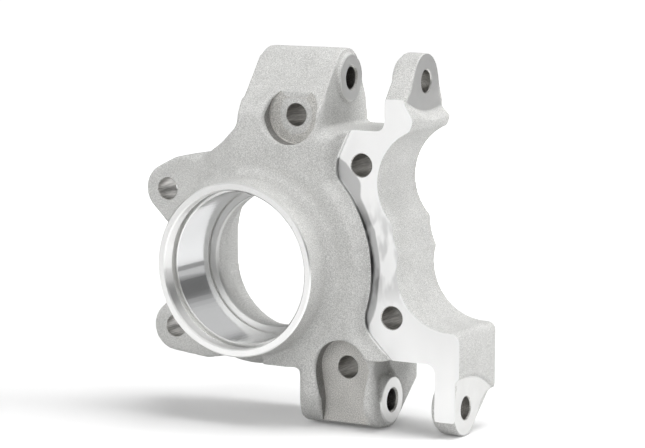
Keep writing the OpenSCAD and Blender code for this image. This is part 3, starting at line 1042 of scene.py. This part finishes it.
@dataclass
class ClevisPair:
    """Faces and bolt holes of one clevis: the inner lug's pad and the outer ear.

    Attributes:
        name: Name of the clevis.
        eye: Bolt axis (y, z).
        pad: Position of the inner lug's pad face.
        ear_pad: Position of the ear's inner pad face.
        ear: Position of the ear's milled outer face.
        sweep: Centre (y, z) of the milled face's round run-out.
        run_out: Radius of that run-out.
        depth: Depth of the blind hole in the inner lug.
        pad_radius: Radius of both pads.
        ear_radius: Radius of the ear about its hole.
        faced_radius: Radius of the flat on a pad.
        pad_edge: Chamfer round the flat of a pad.
        clear_radius: Radius that the facing cut clears round a pad.
        spare: Length left on for the facing cuts.
    """

    name: str
    eye: Pair
    pad: float
    ear_pad: float
    ear: float
    sweep: Pair
    run_out: float = 60.0
    depth: float = 30.0
    pad_radius: float = 13.0
    ear_radius: float = 14.2
    faced_radius: float = 12.55
    pad_edge: float = 0.8
    clear_radius: float = 16.0
    spare: float = 1.2

    def disc(self, workshop: Workshop, part: str, radius: float, start: float, end: float,
             skin: Optional[Skin] = None) -> bpy.types.Object:
        """Round disc about the bolt axis.

        Args:
            workshop: Maker of the solids.
            part: Name of the disc.
            radius: Radius of the disc.
            start: Least x.
            end: Greatest x.
            skin: Finish of the disc.

        Returns:
            The disc.
        """
        profile = [(0, start), (radius, start), (radius, end), (0, end)]
        return workshop.turned(f"{self.name}_{part}", profile, (0.0, *self.eye), Axis.X, skin)

    def stock(self, workshop: Workshop) -> list[bpy.types.Object]:
        """Pads and ear left a little long, for the facing cuts.

        Args:
            workshop: Maker of the solids.

        Returns:
            The discs that are added.
        """
        spans = [("pad_stock", self.pad_radius, self.pad - 4, self.pad + self.spare),
                 ("ear_pad_stock", self.pad_radius, self.ear_pad - self.spare, self.ear_pad + 4),
                 ("ear_stock", self.ear_radius, self.ear - 4, self.ear + self.spare)]
        return [self.disc(workshop, *span) for span in spans]

    def pads(self, workshop: Workshop) -> list[bpy.types.Object]:
        """Round pads with a crisp side, joined after the casting is softened.

        Args:
            workshop: Maker of the solids.

        Returns:
            Both pads.
        """
        spans = [("pad_boss", self.pad_radius, self.pad - 5.0, self.pad + 0.4),
                 ("ear_pad_boss", self.pad_radius, self.ear_pad - 0.4, self.ear_pad + 5.0)]
        return [self.disc(workshop, *span, Skin.CAST) for span in spans]

    def holes(self) -> list[Hole]:
        """Bolt hole of the ear and blind hole of the inner lug.

        Returns:
            Both holes.
        """
        through = Hole(f"{self.name}_ear", (self.ear, *self.eye), Axis.X, self.ear_pad - self.ear,
                       chamfer=0.6, far_chamfer=0.5)
        blind = Hole(f"{self.name}_lug", (self.pad, *self.eye), Axis.X, -self.depth,
                     chamfer=0.9, blind=True)
        return [through, blind]

    def cutters(self, workshop: Workshop) -> list[bpy.types.Object]:
        """Facing cuts of both pads and the milled outer face of the ear.

        Args:
            workshop: Maker of the solids.

        Returns:
            The cutters in order.
        """
        made = []
        for part, face, out in (("pad", self.pad, 1.0), ("ear_pad", self.ear_pad, -1.0)):
            low, high = face - self.pad_edge * out, face + 3.0 * out
            profile = [(0, face), (self.faced_radius, face),
                       (self.faced_radius + self.pad_edge, low), (self.clear_radius, low),
                       (self.clear_radius, high), (0, high)]
            made.append(workshop.turned(f"{self.name}_{part}_facing", profile,
                                        (0.0, *self.eye), Axis.X, Skin.PAD))
        wide, high = self.run_out, self.ear + 16
        profile = [(0, self.ear), (wide, self.ear), (wide + 14, high), (0, high)]
        made.append(workshop.turned(f"{self.name}_ear_facing", profile, (0.0, *self.sweep),
                                    Axis.X, Skin.PAD))
        return made


@dataclass
class RoundSeats:
    """Round seats about both mounting holes, and the channel under the lower one.

    Attributes:
        radius: Radius of both seats.
        upper: Upper hole and floor (x, z, y).
        lower: Lower hole and floor (x, z, y).
        waist: Half width of the channel at its waist.
        waist_z: Height of the waist.
        foot_z: Height of the channel's open end.
        foot_flare: Extra half width at the open end.
        steps: Parts of each side of the channel's outline.
        corner: Chamfer between a floor and its wall.
    """

    radius: float = 16.05
    upper: Point = (23.2, 84.9, 1.0)
    lower: Point = (56.9, -53.4, 0.0)
    waist: float = 13.5
    waist_z: float = -73.0
    foot_z: float = -90.0
    foot_flare: float = 3.0
    steps: int = 12
    corner: float = 0.3

    def half_width(self, z: float) -> float:
        """Half width of the channel at a height.

        Args:
            z: Height, in millimetres.

        Returns:
            Half width, in millimetres.
        """
        rise = (z - self.waist_z) / (self.lower[1] - self.waist_z)
        if rise > 0:
            return self.waist + (self.radius - self.waist) * (1 - math.cos(math.pi * rise)) / 2
        fall = (self.waist_z - z) / (self.waist_z - self.foot_z)
        return self.waist + self.foot_flare * fall * fall

    def channel(self) -> list[Pair]:
        """Front outline of the channel, its walls curved in to the waist.

        Returns:
            Corners (x, z) in order.
        """
        x, top, _ = self.lower
        heights = [top + (self.foot_z - top) * share / self.steps
                   for share in range(self.steps + 1)]
        left = [(x - self.half_width(z), z) for z in heights]
        return left + [(x + self.half_width(z), z) for z in reversed(heights)]

    def cutters(self, workshop: Workshop) -> list[bpy.types.Object]:
        """Both round seats and the channel, cut down to their floors.

        Args:
            workshop: Maker of the solids.

        Returns:
            The cutters in order.
        """
        made = []
        for name, (x, z, y) in (("upper_seat", self.upper), ("lower_seat", self.lower)):
            profile = [(0, -40), (self.radius, -40), (self.radius, y - self.corner),
                       (self.radius - self.corner, y), (0, y)]
            made.append(workshop.turned(f"{name}_floor", profile, (x, 0, z), Axis.Y, Skin.FLOOR))
        made.append(workshop.prism("channel_floor", self.channel(), -14, self.lower[2],
                                   Skin.FLOOR))
        return made


@dataclass
class Knuckle:
    """The whole casting: blank, machining and finishes.

    Attributes:
        workshop: Maker of the solids.
        voxel: Cell of the remeshed blank, in millimetres.
        target: Triangles of the blank before it is cut.
        edge_passes: Smoothing passes over the whole skin.
        soft_passes: Smoothing passes over the soft stretches.
        sharp_angle: Angle from which an edge is shaded sharp, in degrees.
        housing: Bearing housing.
        face: Caliper face.
        seats: Round seats and channel.
        upper: Upper clevis.
        lower: Lower clevis.
    """

    workshop: Workshop
    voxel: float = 0.8
    target: int = 170000
    edge_passes: int = 6
    soft_passes: int = 60
    sharp_angle: float = 34.0
    housing: BearingHousing = field(default_factory=BearingHousing)
    face: CaliperFace = field(default_factory=CaliperFace)
    seats: RoundSeats = field(default_factory=RoundSeats)
    upper: ClevisPair = field(default_factory=lambda: ClevisPair(
        "upper", (27.1, 104.5), 44.2, 75.4, 90.2, (30.1, 148.4)))
    lower: ClevisPair = field(default_factory=lambda: ClevisPair(
        "lower", (14.4, -72.4), 77.5, 107.5, 122.3, (9.4, -115.5)))

    def drilled(self) -> list[Hole]:
        """All holes along Y, then those of both clevises.

        Returns:
            The holes in order.
        """
        across = [
            Hole("caliper_upper", (64.4, 0.0, 59.2), Axis.Y, 48.5, far_chamfer=0.5),
            Hole("caliper_lower", (83.7, 0.0, -23.7), Axis.Y, 48.5, far_chamfer=0.5),
            Hole("upper_seat", (23.2, 1.0, 84.9), Axis.Y, 47.5, chamfer=0.4, far_chamfer=0.5),
            Hole("lower_seat", (56.9, 0.0, -53.4), Axis.Y, 48.5, chamfer=0.4, far_chamfer=0.5),
            Hole("rear_upper", (-64.1, 7.5, 37.7), Axis.Y, 20.0, chamfer=0.4, far_chamfer=0.4),
            Hole("rear_lower", (-58.9, 7.5, -41.7), Axis.Y, 20.0, chamfer=0.4, far_chamfer=0.4),
        ]
        return across + self.upper.holes() + self.lower.holes()

    @staticmethod
    def soft_stretches() -> list[Stretch]:
        """Stretches of the casting with larger radii than the rest.

        Returns:
            The stretches.
        """
        return [
            Stretch((-10, -9, 76), (-24, -4, 67), 7), Stretch((-24, -4, 67), (-48, 8, 52), 8),
            Stretch((-46, 9, 55), (-40, 9, 36), 9), Stretch((-22, -7, 64), (-44, -6, 46), 7),
            Stretch((64, -8, -28), (67, -8, -19), 7), Stretch((28, -2, -56), (44, -6, -50), 7),
            Stretch((30, 8, -88), (76, 8, -88), 4), Stretch((50, -5, 54), (56, -4, 76), 4),
            Stretch((-6, -9, 84), (42, -9, 84), 14), Stretch((41, -5, -48), (43.5, -5, -74), 5),
            Stretch((-8, 18, 119), (-8, 36, 119), 4), Stretch((29, -8, -50), (30, -7, -86), 5),
        ]

    @staticmethod
    def firm_stretches() -> list[Stretch]:
        """Stretches that stay crisper: the step on the outer side of the upper lug."""
        return [Stretch((-9.2, -9, 93), (-9.2, 48, 93), 4.5)]

    def blank(self) -> bpy.types.Object:
        """Casting before machining: stock added, remeshed and softened.

        Returns:
            The blank as one closed mesh.
        """
        node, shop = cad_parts["knuckle"], self.workshop
        shape = bmesh.new()
        shape.from_mesh(node.data)
        bmesh.ops.remove_doubles(shape, verts=shape.verts, dist=MERGE)
        extra = self.housing.stock(shop) + self.face.stock(shop, node)
        extra += self.upper.stock(shop) + self.lower.stock(shop)
        extra += [hole.plug(shop) for hole in self.drilled()]
        for part in extra:
            shape.from_mesh(part.data)
            bpy.data.objects.remove(part)
        item = shop.thing("knuckle_casting", shape)
        remesh = item.modifiers.new("remesh", "REMESH")
        remesh.mode = "VOXEL"
        remesh.voxel_size = self.voxel * MM
        remesh.adaptivity = 0.0
        shop.applied(item)
        LOG.info("blank: %d faces after remeshing", len(item.data.polygons))
        return self.softened(item)

    @staticmethod
    def weigh(item: bpy.types.Object, name: str, stretches: list[Stretch]) -> None:
        """Gives an object a vertex group that holds the weights of some stretches.

        Args:
            item: Object that gets the group.
            name: Name of the group.
            stretches: Stretches of the casting.
        """
        places = np.empty(len(item.data.vertices) * 3, np.float32)
        item.data.vertices.foreach_get("co", places)
        places = places.reshape(-1, 3).astype(float) / MM
        weight = np.max([stretch.weight(places) for stretch in stretches], axis=0)
        group = item.vertex_groups.new(name=name)
        for tenth in range(1, 11):
            chosen = np.nonzero(np.ceil(weight * 10) == tenth)[0]
            if len(chosen):
                group.add(chosen.tolist(), tenth / 10, "REPLACE")

    def softened(self, item: bpy.types.Object) -> bpy.types.Object:
        """Rounds all edges a little and the soft stretches more, then thins the mesh.

        Args:
            item: Remeshed blank.

        Returns:
            The same object.
        """
        self.weigh(item, "soft", self.soft_stretches())
        self.weigh(item, "firm", self.firm_stretches())
        for passes, group in ((self.edge_passes, "firm"), (self.soft_passes, "soft")):
            smooth = item.modifiers.new("smooth", "SMOOTH")
            smooth.factor = 0.5
            smooth.iterations = passes
            smooth.vertex_group = group
            smooth.invert_vertex_group = group == "firm"
        triangles = sum(len(polygon.vertices) - 2 for polygon in item.data.polygons)
        thin = item.modifiers.new("thin", "DECIMATE")
        thin.decimate_type = "COLLAPSE"
        thin.ratio = min(1.0, self.target / triangles)
        return self.workshop.applied(item)

    def machined(self, item: bpy.types.Object) -> None:
        """Joins the crisp pads, then cuts every face, bore, seat and hole.

        Args:
            item: Softened blank.
        """
        shop = self.workshop
        item.data.materials.clear()
        item.data.materials.append(shop.materials[Skin.CAST])
        item.vertex_groups.clear()
        shop.cut(item, self.upper.pads(shop) + self.lower.pads(shop), Joining.ADD)
        tools = []
        for part in (self.face, self.housing, self.seats, self.upper, self.lower):
            tools += part.cutters(shop)
        shop.cut(item, tools + [hole.cutter(shop) for hole in self.drilled()])

    def build(self) -> bpy.types.Object:
        """Casts, machines and dresses the knuckle.

        Returns:
            The finished piece, which replaces the CAD node.
        """
        item = self.blank()
        LOG.info("blank: %d faces after thinning", len(item.data.polygons))
        self.machined(item)
        item.data.shade_smooth()
        item.data.set_sharp_from_angle(angle=math.radians(self.sharp_angle))
        item.name = "knuckle_body"
        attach(item, "root")
        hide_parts("knuckle")
        return item


@dataclass(frozen=True)
class SoftBox:
    """A square soft lamp.

    Attributes:
        name: Name of the lamp.
        place: Where it stands, in metres.
        side: Length of its side, in metres.
        watts: Power.
        mirrored: False for a lamp that no polished face shows.
    """

    name: str
    place: Point
    side: float
    watts: float
    mirrored: bool = True

    def hang(self, aim: Point) -> None:
        """Adds the lamp, turned to a point.

        Args:
            aim: Point that it faces, in metres.
        """
        data = bpy.data.lights.new(self.name, "AREA")
        data.shape = "RECTANGLE"
        data.size = data.size_y = self.side
        data.energy = self.watts
        lamp = bpy.data.objects.new(self.name, data)
        lamp.location = self.place
        lamp.visible_glossy = self.mirrored
        lamp.rotation_mode = "QUATERNION"
        lamp.rotation_quaternion = (Vector(aim) - Vector(self.place)).to_track_quat("-Z", "Y")
        bpy.context.scene.collection.objects.link(lamp)


@dataclass(frozen=True)
class Viewpoint:
    """Camera at the photograph's viewing angle.

    Attributes:
        place: Where it stands, in metres.
        yaw: Turn to the right of the bore's axis, in degrees.
        rise: Height above the horizon, in degrees.
        roll: Turn about the line of sight, in degrees.
        lens: Focal length, in millimetres.
        sensor: Width of the sensor, in millimetres.
        clip: Nearest and farthest distance, in metres.
    """

    place: Point = (0.683347, -1.206825, 0.213369)
    yaw: float = 28.041
    rise: float = 7.832
    roll: float = 0.28
    lens: float = 139.535
    sensor: float = 36.0
    clip: Pair = (0.05, 30.0)

    def turned(self) -> Matrix:
        """Finds the camera's rotation.

        Returns:
            Matrix with the camera's right, up and back in its columns.
        """
        yaw, rise, roll = (math.radians(turn) for turn in (self.yaw, self.rise, self.roll))
        level = math.cos(rise)
        back = Vector((math.sin(yaw) * level, -math.cos(yaw) * level, math.sin(rise)))
        right = Vector((math.cos(yaw), math.sin(yaw), 0.0))
        up = back.cross(right)
        side = right * math.cos(roll) + up * math.sin(roll)
        top = up * math.cos(roll) - right * math.sin(roll)
        return Matrix((side, top, back)).transposed()

    def build(self) -> None:
        """Adds the camera and makes it the scene's own."""
        data = bpy.data.cameras.new("camera")
        data.sensor_fit = "HORIZONTAL"
        data.sensor_width = self.sensor
        data.lens = self.lens
        data.clip_start, data.clip_end = self.clip
        camera = bpy.data.objects.new("camera", data)
        camera.matrix_world = Matrix.Translation(self.place) @ self.turned().to_4x4()
        bpy.context.scene.collection.objects.link(camera)
        bpy.context.scene.camera = camera


@dataclass
class Studio:
    """Floor, surroundings, lamps and camera.

    Attributes:
        floor_z: Height of the floor, in metres.
        floor_radius: Radius of the floor, in metres.
        pale: Brightness of the floor to the camera and in reflections.
        dull: Brightness of the floor where it throws light back on the object.
        glow: Own light of the floor, and how much more of it the camera sees far away.
        glow_reach: Distances between which that further glow rises, in metres.
        fill: Strength of the even light from all round.
        aim: Point that the lamps face, in metres.
        boxes: The lamps.
        viewpoint: The camera.
    """

    floor_z: float
    floor_radius: float = 6.0
    pale: float = 0.87
    dull: float = 0.4
    glow: Pair = (0.09, 0.86)
    glow_reach: Pair = (0.2, 0.85)
    fill: float = 0.13
    aim: Point = (0.02, 0.01, 0.02)
    boxes: tuple[SoftBox, ...] = (
        SoftBox("top_box", (0.3, 0.06, 1.1), 0.8, 11.4, mirrored=False),
        SoftBox("front_box", (0.05, -1.4, 0.7), 1.2, 10.2),
        SoftBox("left_box", (-1.2, -0.6, 0.5), 0.8, 4.4),
        SoftBox("rear_box", (1.2, 0.4, 0.45), 0.8, 13.5, mirrored=False))
    viewpoint: Viewpoint = Viewpoint()

    def floor_material(self) -> bpy.types.Material:
        """Builds the pale floor's material, which stays white to the camera but keeps the shadow.

        Returns:
            The material.
        """
        material = bpy.data.materials.new("pale_floor")
        material.use_nodes = True
        graph = Graph(material.node_tree)
        seen, mirrored = graph.rays()
        x, y, _ = graph.axes(graph.place())
        away = graph.maths("SQRT", x * x + y * y)
        near, more = self.glow
        level = near + seen * graph.ramp(away, *self.glow_reach, 0.0, more)
        grey = graph.node("ShaderNodeCombineColor", Red=level, Green=level, Blue=level)
        glow = graph.node("ShaderNodeEmission", Color=grey.outputs[0])
        pale, dull = (graph.node("ShaderNodeBsdfDiffuse", Color=(share, share, share))
                      for share in (self.pale, self.dull))
        bright = graph.node("ShaderNodeAddShader", s0=pale.outputs[0], s1=glow.outputs[0])
        both = graph.node("ShaderNodeMixShader", s0=seen + mirrored, s1=dull.outputs[0],
                          s2=bright.outputs[0])
        graph.node("ShaderNodeOutputMaterial", Surface=both.outputs[0])
        return material

    def floor(self) -> None:
        """Adds the round floor."""
        shape = bmesh.new()
        bmesh.ops.create_circle(shape, cap_ends=True, radius=self.floor_radius,
                                segments=ROUND_STEPS)
        bmesh.ops.translate(shape, vec=(0, 0, self.floor_z), verts=shape.verts)
        mesh = bpy.data.meshes.new("floor")
        shape.to_mesh(mesh)
        shape.free()
        mesh.materials.append(self.floor_material())
        floor = bpy.data.objects.new("floor", mesh)
        bpy.context.scene.collection.objects.link(floor)

    def world(self) -> None:
        """White to the camera; to polished faces two bright parts with a darker band between."""
        world = bpy.data.worlds.new("studio")
        bpy.context.scene.world = world
        world.use_nodes = True
        graph = Graph(world.node_tree)
        seen, mirrored = graph.rays()
        _, _, rise = graph.axes(graph.node("ShaderNodeTexCoord").outputs["Generated"])
        low, high = graph.ramp(rise, 0.08, 0.12, 0.72, 0.2), graph.ramp(rise, 0.3, 0.5, 0.0, 0.54)
        strength = self.fill + seen * (1 - self.fill) + mirrored * (low + high - self.fill)
        back = graph.node("ShaderNodeBackground", Color=(1.0, 1.0, 1.0), Strength=strength)
        graph.node("ShaderNodeOutputWorld", Surface=back.outputs[0])

    def build(self) -> None:
        """Sets up the whole studio."""
        bpy.context.scene.view_settings.view_transform = "Standard"
        self.floor()
        self.world()
        for box in self.boxes:
            box.hang(self.aim)
        self.viewpoint.build()
        LOG.info("studio: floor at %.4f m, %d lamps", self.floor_z, len(self.boxes))


def main() -> None:
    """Builds the studio and the knuckle and reports the piece."""
    logging.basicConfig(level=logging.INFO, format="%(name)s: %(message)s")
    Studio(floor_z=CAD_BOX[0].z - FLOOR_GAP).build()
    piece = Knuckle(Workshop()).build()
    LOG.info("%s: %d faces, finishes %s", piece.name, len(piece.data.polygons),
             ", ".join(material.name for material in piece.data.materials))


if __name__ == "__main__":
    main()
